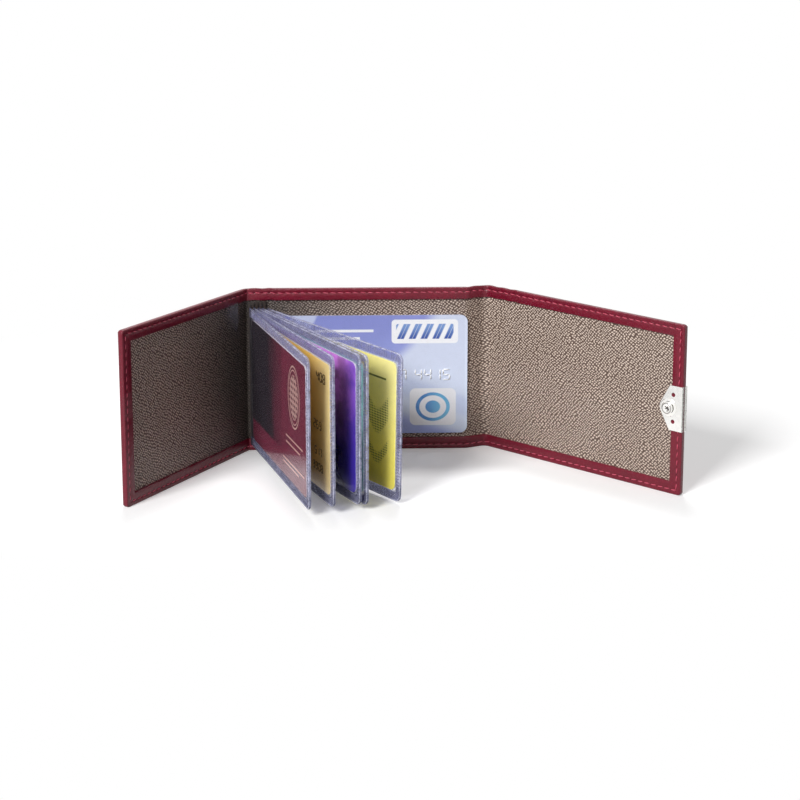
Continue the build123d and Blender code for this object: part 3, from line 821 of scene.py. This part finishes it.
def burgundy_card():
    s = Card("card_1", (0.72, 0.66, 0.62))
    tone = s.shades(s.noise(s.spot(), 0.12, 3.0), (104, 22, 46), (134, 38, 66))
    streaks = s.node("CombineXYZ", {0: s.times(s.x, 1.4), 1: s.times(s.z, 0.04)})[0]
    dark = s.times(s.ramp(s.noise(streaks, 0.8), 0.35, 0.6), 0.6)
    dark = s.either(dark, s.opposite(s.ramp(s.x, 20, 44)))
    tone = s.over(tone, s.times(s.rounded(-6.0, 48.5, 9.5, 60.0, 3.0), dark), 0.97, (8, 6, 10))
    ring = s.ellipse(67.6, 36.8, 8.8, 13.2)
    dots = s.ramp(s.cells(s.flat, 0.42, 0.0), 0.24, 0.34)
    inner = s.times(dots, s.opposite(s.ramp(ring, 0.48, 0.54)))
    rows = ((17.6, 55, 80), (14.9, 55, 76), (7.0, 50, 82), (5.2, 50, 74))
    lines = [s.box(left, right, low, low + 0.7) for low, left, right in rows]
    rings = (s.band(ring, 0.90, 1.0, 0.02), s.band(ring, 0.70, 0.76, 0.02))
    s.finish(s.over(tone, s.either(*rings, s.times(inner, 0.8), *lines), 0.85, (226, 190, 176)))


def gold_card():
    s = Card("card_2", (0.72, 0.58, 0.34))
    tone = s.shades(s.ramp(s.x, 60, 86), (255, 206, 96), (255, 230, 158))
    grain = s.noise(s.spot(), 1.1, 4.0, 0.7)
    tone = s.over(tone, s.times(s.ramp(s.z, 42, 4), grain), 0.7, (156, 122, 84))
    s.set(Roughness=0.3)
    s.finish(s.mix(s.box(10, 60, 22, 30), tone, colour((206, 146, 60))))


def violet_card():
    s = Card("card_3", (0.78, 0.70, 0.86))
    fade = s.ramp(s.plus(s.z, s.times(s.x, 0.12)), 22, 62)
    tone = s.shades(fade, (44, 36, 116), (240, 150, 255))
    tone = s.over(tone, s.ramp(s.noise(s.spot(), 0.09, 3.0), 0.42, 0.62), 0.55, (30, 24, 48))
    s.finish(s.over(tone, s.ramp(s.x, 72, 84), 0.7, (70, 44, 190)))


def teal_card():
    s = Card("card_4", (0.55, 0.78, 0.70))
    tone = s.shades(s.ramp(s.z, 20, 30), (34, 96, 100), (164, 250, 226))
    s.finish(s.over(tone, s.waves(s.spot(), 0.3, 2.0), 0.3, (190, 226, 214)))


def yellow_card():
    s = Card("card_5", (0.85, 0.82, 0.55))
    tone = s.shades(s.ramp(s.z, 0, 54), (255, 240, 104), (255, 244, 160))
    tone = s.over(tone, s.ramp(s.x, 84, 66), 0.25, (228, 214, 70))
    spots = s.opposite(s.ramp(s.cells(s.flat, 0.95, 0.0), 0.30, 0.44))
    wave = s.times(s.math("SINE", s.times(s.x, 0.32)), 4.0)
    path = s.minus(s.z, s.plus(wave, 31.0))
    area = s.either(s.band(path, -5.0, 5.0, 1.2), s.band(path, -18.0, -13.5, 1.0))
    spots = s.times(s.times(spots, area), s.band(s.x, 8.0, 80.5, 1.0))
    tone = s.over(tone, spots, 0.85, (62, 92, 48))
    s.finish(s.mix(s.box(60, 79, 45.2, 46.0), tone, colour((88, 96, 40))))


def blue_card():
    s = Card("window_card", (0.66, 0.70, 0.84))
    curve = s.plus(s.x, s.times(s.math("POWER", s.gap(54.0, s.z), 1.35), 0.28))
    # The card's printed blues, made paler towards the bottom as painted light against the sleeves' shadow.
    fade = s.ramp(s.z, 0, 54)
    deep = s.shades(fade, (186, 202, 255), (140, 148, 214))
    light = s.shades(fade, (224, 235, 255), (212, 220, 242))
    tone = s.mix(s.ramp(curve, 66.0, 74.0), deep, light)
    tone = s.mix(s.times(s.band(curve, 8.0, 19.0, 0.8), 0.75), tone, light)
    sweep = s.plus(s.z, s.times(s.x, 0.36))
    tone = s.over(tone, s.band(sweep, 38.0, 47.0, 2.0), 0.35, (176, 192, 236))
    tone = s.over(tone, s.ramp(sweep, 32.0, 26.0), 0.7, (150, 166, 246))
    panels = (s.rounded(52.0, 81.4, 41.2, 52.0, 1.6), s.rounded(60.0, 80.6, 3.6, 20.6, 2.6))
    bars = [s.box(18.0, 44.0 - 6 * k, 46.4 - 3.4 * k, 47.6 - 3.4 * k) for k in range(3)]
    tone = s.mix(s.either(*panels, *bars), tone, colour((250, 251, 254)))
    slant = s.math("PINGPONG", s.plus(s.x, s.times(s.z, -0.45)), 2.6)
    stripes = s.times(s.rounded(54.0, 79.4, 43.2, 50.0, 0.8), s.band(slant, 0.0, 1.5, 0.3))
    ink = s.shades(s.ramp(s.z, 43.0, 50.0), (48, 84, 168), (120, 156, 214))
    tone = s.mix(stripes, tone, ink)
    target = s.ellipse(70.3, 12.1, 7.6, 6.6)
    rings = s.either(s.band(target, 0.62, 1.0, 0.04), s.opposite(s.ramp(target, 0.16, 0.22)))
    ink = s.shades(s.ramp(s.x, 66.0, 74.0), (56, 132, 204), (104, 184, 228))
    s.finish(s.mix(rings, tone, ink))


for draw in (burgundy_card, gold_card, violet_card, teal_card, yellow_card, blue_card):
    draw()

# A sleeve's outline and the pocket in it, measured from its lower near corner, and the
# depths of its faces from its middle plane
SLEEVE_START, SLEEVE_END, SLEEVE_TOP = 0.65, 93.7, 62.38
SLEEVE_ROUND = 3.0
POCKET_LOW, POCKET_HIGH, POCKET_END = 3.9, 58.48, 90.7
WELD_DEPTH, FILM_DEPTH, FACE_DEPTH = 0.40, 0.57, 0.58
WELD_HALF = 0.27
SEAM_STEPS = (-0.3, 0.1, 0.5, 1.0, 1.6)
RIM_STEPS = (0.1, 0.35, 0.8, 1.5, 2.2, 3.0)
WELD_STEPS = (0.0, 0.15, 0.5, 1.1, 2.0, 3.0)


def sleeve_outline(z):
    """Where a sleeve ends at a height above its bottom edge."""
    return SLEEVE_END - rounding(min(z, SLEEVE_TOP - z), SLEEVE_ROUND)


def marks(low, high, pitch, extra):
    """Values from low to high at a pitch, with extra ones between them."""
    count = max(int((high - low) / pitch), 1)
    found = {low + (high - low) * k / count for k in range(count + 1)}
    found.update(v for v in extra if low < v < high)
    return sorted(found)


def fullness(x, z):
    """0 on a sleeve's welded border and 1 over its pocket."""
    full = ease(z, POCKET_LOW - 0.3, POCKET_LOW + 1.6)
    full *= 1 - ease(z, POCKET_HIGH - 1.6, POCKET_HIGH + 0.3)
    return full * (1 - ease(x, POCKET_END - 1.6, POCKET_END + 0.3))


def sleeve_film(name, number, side):
    """One face of a sleeve: flat where it is welded and slightly full over the pocket."""
    origin, along, up, front = sleeve_frames[number]
    extra = [POCKET_LOW + k for k in SEAM_STEPS] + [POCKET_HIGH - k for k in SEAM_STEPS]
    extra += [*RIM_STEPS, *(SLEEVE_TOP - k for k in RIM_STEPS)]
    rows = marks(0.0, SLEEVE_TOP, 2.6, extra)
    columns = marks(SLEEVE_START, SLEEVE_END, 2.9, [POCKET_END - k for k in SEAM_STEPS])
    vertices = []
    for layer in (0.0, 0.12):
        for z in rows:
            squeeze = (sleeve_outline(z) - SLEEVE_START) / (SLEEVE_END - SLEEVE_START)
            for x in columns:
                spot = SLEEVE_START + (x - SLEEVE_START) * squeeze
                slack = 0.035 * noise.noise(Vector((spot * 0.06, z * 0.05, number * 3 + side))) - 0.02
                depth = WELD_DEPTH + (FILM_DEPTH + slack - WELD_DEPTH) * fullness(spot, z) - layer
                vertices.append((origin + along * spot + up * z + front * side * depth) * MM)
    wide, tall = len(columns), len(rows)
    faces = grid_faces(tall, wide) + grid_faces(tall, wide, wide * tall)
    rim = list(range(wide)) + [row * wide + wide - 1 for row in range(1, tall)]
    rim += [(tall - 1) * wide + k for k in range(wide - 2, -1, -1)]
    rim += [row * wide for row in range(tall - 2, 0, -1)]
    back = wide * tall
    faces += [(a, b, b + back, a + back) for a, b in zip(rim, rim[1:] + rim[:1])]
    return make_object(name, vertices, faces, sharp=60)


def sleeve_weld(name, number):
    """Frame of welded film round a sleeve's pocket, open at the spine."""
    origin, along, up, front = sleeve_frames[number]
    low, high = POCKET_LOW - 0.1, POCKET_HIGH + 0.1
    left = SLEEVE_START + 0.02
    levels = [*WELD_STEPS, 12.0, 31.2, 50.4, *(SLEEVE_TOP - step for step in reversed(WELD_STEPS))]
    outer = [(left, 0.0), *((sleeve_outline(z) - 0.02, z) for z in levels), (left, SLEEVE_TOP)]
    inner = [(left, low), *((POCKET_END + 0.1, min(max(z, low), high)) for z in levels), (left, high)]
    vertices, faces, count = [], [], len(outer)
    for depth in (-WELD_HALF, WELD_HALF):
        for ring in (outer, inner):
            vertices.extend((origin + along * x + up * z + front * depth) * MM for x, z in ring)
    for index in range(count - 1):
        a, b, c, d = (index + k * count for k in range(4))
        faces += [(a, a + 1, b + 1, b), (c, c + 1, d + 1, d), (a, a + 1, c + 1, c), (b, b + 1, d + 1, d)]
    for index in (0, count - 1):
        faces.append((index, index + count, index + 3 * count, index + 2 * count))
    made = make_object(name, vertices, faces, sharp=40)
    tidy = bmesh.new()
    tidy.from_mesh(made.data)
    bmesh.ops.remove_doubles(tidy, verts=tidy.verts, dist=1e-7)
    bmesh.ops.dissolve_degenerate(tidy, edges=tidy.edges, dist=1e-8)
    tidy.to_mesh(made.data)
    tidy.free()
    return made


def sleeve_ribs(name, number):
    """Ridges that the welding bar leaves on a sleeve's border, on both faces, and its outer bead."""
    origin, along, up, front = sleeve_frames[number]
    threads = Threads()
    right, top = SLEEVE_END, SLEEVE_TOP

    def add(spots, radius, proud, sides, kind):
        for side in (-1, 1):
            lift = front * side * (FACE_DEPTH + proud - radius)
            points = [(origin + along * x + up * z + lift) * MM for x, z in spots]
            threads.add(points, radius * MM, sides, kind)

    def bar(x1, z1, x2, z2):
        spots = [(x1 + (x2 - x1) * k / 4, z1 + (z2 - z1) * k / 4) for k in (0, 0.35, 2, 3.65, 4)]
        add(spots, 0.40, 0.02, 6, 0)

    count = 58
    for index in range(count):
        x = 4.5 + (right - 4.4 - 4.5) * index / (count - 1)
        bar(x, top - 3.5, x + 0.15, top - 0.75)
        bar(x, 0.75, x + 0.15, 3.5)
    count = 43
    for index in range(count):
        z = 4.4 + (top - 8.8) * index / (count - 1)
        bar(right - 2.7, z, right - 0.7, z + 0.1)
    for middle, turn in ((top - 4.0, 1), (4.0, -1)):
        for step in range(4):
            angle = radians(14 + step * 21)
            x, z = cos(angle), sin(angle) * turn
            bar(right - 4.0 + x * 1.3, middle + z * 1.2, right - 4.0 + x * 3.35, middle + z * 3.25)
    outline = [(3.0, top - 0.32)]
    for middle, first in ((top - SLEEVE_ROUND, 90), (SLEEVE_ROUND, 0)):
        for step in range(7):
            angle = radians(first - 15 * step)
            x = right - SLEEVE_ROUND + 2.68 * cos(angle)
            outline.append((x, middle + 2.68 * sin(angle)))
    outline.append((3.0, 0.32))
    add(outline, 0.28, 0.0, 8, 1)
    pocket = [
        (5.0, top - 4.05), (right - 3.3, top - 4.05), (right - 3.05, top - 4.3),
        (right - 3.05, 4.3), (right - 3.3, 4.05), (5.0, 4.05),
    ]
    add(pocket, 0.16, 0.01, 6, 1)
    made = threads.finish(name)
    made.data.materials.append(ridge)
    made.data.materials.append(bead)
    made.data.polygons.foreach_set("material_index", threads.kinds)
    return made


for number in range(1, 6):
    sleeve = f"sleeve_{number}"
    ribs = sleeve_ribs(sleeve + "_ribs", number)
    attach(ribs, sleeve)
    for made, material, slot, node in (
        (sleeve_weld(sleeve + "_weld", number), border, "sleeve_border", "_border"),
        (sleeve_film(sleeve + "_front_face", number, 1), sleeve_clear, "clear_film", "_front_film"),
        (sleeve_film(sleeve + "_back_face", number, -1), sleeve_clear, "clear_film", "_back_film"),
    ):
        made.data.materials.append(material)
        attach(made, sleeve)
        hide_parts(sleeve + node)

# Closure plate, measured from the flap's crease and from the floor
PLATE_LOW, PLATE_HIGH = 27.3, 46.3
PLATE_LEFT, PLATE_EDGE = 82.0, 88.35
PLATE_THICK = 0.42
BULGE_RADIUS = 4.25
RIVET_REACH, RIVET_LEVEL, RIVET_RADIUS = 83.8, 5.7, 0.9


def plate_outline():
    """Outline of a leaf, straight at the fold and with a round bulge for the stud."""
    wide, tall = PLATE_LEFT - STUD_REACH, PLATE_HIGH - STUD_LEVEL
    lean = atan2(tall, wide) + acos(BULGE_RADIUS / hypot(wide, tall))
    outline = [(PLATE_EDGE, PLATE_LOW), (PLATE_EDGE, PLATE_HIGH)]
    outline += [(PLATE_LEFT + 0.3, PLATE_HIGH), (PLATE_LEFT, PLATE_HIGH - 0.2)]
    for step in range(19):
        angle = lean + (2 * pi - 2 * lean) * step / 18
        x = STUD_REACH + BULGE_RADIUS * cos(angle)
        outline.append((x, STUD_LEVEL + BULGE_RADIUS * sin(angle)))
    return outline + [(PLATE_LEFT, PLATE_LOW + 0.2), (PLATE_LEFT + 0.3, PLATE_LOW)]


def add_leaf(built, depth):
    """One leaf of the plate, with its two rivet holes."""
    loops = [plate_outline()]
    turns = [2 * pi * k / 20 for k in range(20)]
    for level in (STUD_LEVEL - RIVET_LEVEL, STUD_LEVEL + RIVET_LEVEL):
        loops.append(
            [(RIVET_REACH + RIVET_RADIUS * cos(a), level + RIVET_RADIUS * sin(a)) for a in turns]
        )
    edges = []
    for loop in loops:
        points = [built.verts.new(point_at(FLAP_CREASE + u, depth, v)) for u, v in loop]
        edges += [built.edges.new(pair) for pair in zip(points, points[1:] + points[:1])]
    filled = bmesh.ops.triangle_fill(built, edges=edges, use_beauty=True)
    flat = [item for item in filled["geom"] if isinstance(item, bmesh.types.BMFace)]
    raised = bmesh.ops.extrude_face_region(built, geom=flat)
    moved = [item for item in raised["geom"] if isinstance(item, bmesh.types.BMVert)]
    bmesh.ops.translate(built, verts=moved, vec=heading(FLAP_TURN + 90) * PLATE_THICK * MM)


def add_fold(built):
    """The plate's fold over the flap's edge, with three rolled ridges down it."""
    ring = [(88.32, -0.44)]
    for centre, radius in ((0.17, 0.60), (1.33, 0.56), (2.48, 0.60)):
        for step in range(9):
            angle = radians(-80 + 20 * step)
            ring.append((88.30 + radius * 0.9 * cos(angle), centre + radius * sin(angle)))
    ring += [(88.32, PANEL + 0.44), (88.12, PANEL + 0.1), (88.12, -0.1)]
    levels = [PLATE_LOW, PLATE_LOW + 0.12]
    levels += [PLATE_LOW + 1.0 + (PLATE_HIGH - PLATE_LOW - 2.0) * k / 10 for k in range(11)]
    levels += [PLATE_HIGH - 0.12, PLATE_HIGH]
    points = []
    for level in levels:
        inset = 0.1 if level in (PLATE_LOW, PLATE_HIGH) else 0.0
        points += [built.verts.new(point_at(FLAP_CREASE + u - inset, d, level)) for u, d in ring]
    for face in grid_faces(len(levels), len(ring), closed=True):
        built.faces.new([points[index] for index in face])
    built.faces.new(points[:len(ring)])
    built.faces.new(points[-len(ring):])


def closure_plate(name):
    """Folded plate over the flap's free edge, with softened edges."""
    built = bmesh.new()
    add_leaf(built, -0.44)
    add_leaf(built, PANEL + 0.02)
    add_fold(built)
    made = finish_object(name, bpy.data.meshes.new(name), built, 40)
    soften = made.modifiers.new("soften", "BEVEL")
    soften.width = 0.11 * MM
    soften.segments = 2
    soften.limit_method = "ANGLE"
    soften.angle_limit = radians(50)
    return made


plate = closure_plate("closure_plate_dressed")
plate.data.materials.append(nickel)
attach(plate, "flap")
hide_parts("closure_plate")

# Plain raised figures on the second card and on the window card
STROKES = {
    "a": (0, 1, 0.6, 1), "b": (0.6, 0.5, 0.6, 1), "c": (0.6, 0, 0.6, 0.5), "d": (0, 0, 0.6, 0),
    "e": (0, 0, 0, 0.5), "f": (0, 0.5, 0, 1), "g": (0, 0.5, 0.6, 0.5),
}
FIGURES = ("abcdef", "bc", "abged", "abgcd", "fgbc", "afgcd", "afgedc", "abc", "abcdefg", "abcdfg")
CARD_FACE = 0.38


def raised_digits(name, card, figures, left, low, size, gap, material):
    """Raised figures on a card's face, from thin rounded bars in cells 0.6 of their size wide.
    None is a space."""
    origin, along, front = card_frames[card]
    threads = Threads()
    cursor = left
    for figure in figures:
        if figure is None:
            cursor += size * 0.6
            continue
        for letter in FIGURES[figure]:
            x1, y1, x2, y2 = STROKES[letter]
            ends = []
            for x, y in ((x1, y1), (x2, y2)):
                spot = origin + front * CARD_FACE + along * (cursor + x * size)
                ends.append((spot + Vector((0, 0, low + y * size))) * MM)
            middle = (ends[0] + ends[1]) / 2 + front * 0.06 * MM
            points = [ends[0], (ends[0] + middle * 3) / 4, middle, (ends[1] + middle * 3) / 4, ends[1]]
            threads.add(points, size * 0.085 * MM)
        cursor += size * (0.6 + gap)
    made = threads.finish(name)
    made.data.materials.append(material)
    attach(made, card + "_body")


dark_foil = metal_material("dark_foil", (0.16, 0.11, 0.05), 0.35)
for label, figures, left, low, size in (
    ("upper", (4, 0, 8), 71.5, 44.8, 3.6), ("middle", (2, 6, 9), 68.0, 24.5, 3.2),
    ("lower", (5, 1, 7), 69.0, 13.5, 3.0), ("lowest", (3, 3, 0, 8), 67.0, 7.0, 3.0),
):
    raised_digits("gold_card_figures_" + label, "card_2", figures, left, low, size, 0.35, dark_foil)
ink = Surface("pale_ink")
mottle = ink.mix(ink.noise(ink.spot(), 1.0), (0.86, 0.88, 0.92), (0.96, 0.97, 0.99))
ink.set(Base_Color=mottle, Roughness=0.4)
account = (5, 2, 0, 4, None, 1, 8, 3, 6, None, 9, 0, 2, 7, None, 4, 4, 1, 5)
raised_digits("window_card_figures", "window_card", account, 4.5, 24.6, 4.6, 0.3, ink.material)

# Floor, backdrop, lights and camera


def floor_material():
    """White floor that keeps the object's shadow near it and fades to plain white further off."""
    s = Surface("pale_floor")
    s.set(Base_Color=(0.4, 0.4, 0.4), Roughness=0.8, Specular_IOR_Level=0.1)
    where = s.node("TexCoord")["Object"]
    oval = {"Vector": where, "Location": (-0.005, -0.05, 0.0), "Scale": (0.6, 1.0, 0.0)}
    far = s.vector("LENGTH", s.node("Mapping", oval)[0], output="Value")
    share = s.plus(s.times(s.ramp(far, 0.12, 0.20), 0.86), 0.14)
    near = s.node("BsdfDiffuse", {"Color": (1.08, 1.08, 1.08)})[0]
    glow = s.node("Emission", {"Color": (1.0, 1.0, 1.0), "Strength": 1.0})[0]
    s.show(s.mix_shaders(s.seen(), s.shader.outputs[0], s.mix_shaders(share, near, glow)))
    return s.material


mesh = bpy.data.meshes.new("floor")
mesh.from_pydata([(-6, -3, 0), (6, -3, 0), (6, 9, 0), (-6, 9, 0)], [], [(0, 1, 2, 3)])
floor = add_object("floor", mesh)
floor.data.materials.append(floor_material())

world = bpy.data.worlds.new("studio")
scene.world = world
world.use_nodes = True
sky = Tree(world.node_tree)
strength = sky.node("MapRange", {"Value": sky.seen(), "To Min": 0.17, "To Max": 1.0})
sky.join((1, 1, 1), sky.nodes["Background"].inputs["Color"])
sky.join(strength[0], sky.nodes["Background"].inputs["Strength"])


def area_light(name, spot, target, power, size):
    data = bpy.data.lights.new(name, "AREA")
    data.energy = power
    data.shape = "RECTANGLE"
    data.size, data.size_y = size
    lamp = add_object(name, data)
    lamp.location = spot
    aim = Vector(target) - Vector(spot)
    lamp.rotation_euler = aim.to_track_quat("-Z", "Y").to_euler()


area_light("key", (-1.12, -1.58, 1.30), (0.02, 0.0, 0.03), 59.0, (0.8, 0.8))
area_light("overhead", (0.0, 0.95, 2.1), (0.0, -0.03, 0.0), 22.0, (0.6, 0.42))

camera_data = bpy.data.cameras.new("camera")
camera_data.lens = 80.1
camera_data.sensor_width = 36.0
camera_data.shift_y = -0.2
camera_data.clip_start = 0.01
camera_data.clip_end = 50.0
camera = add_object("camera", camera_data)
camera.location = (-0.00982, -0.76474, 0.24228)
camera.rotation_euler = (radians(90 - 10.91), 0.0, radians(-1.765))
scene.camera = camera

scene.view_settings.view_transform = "Standard"
scene.cycles.transparent_max_bounces = 40
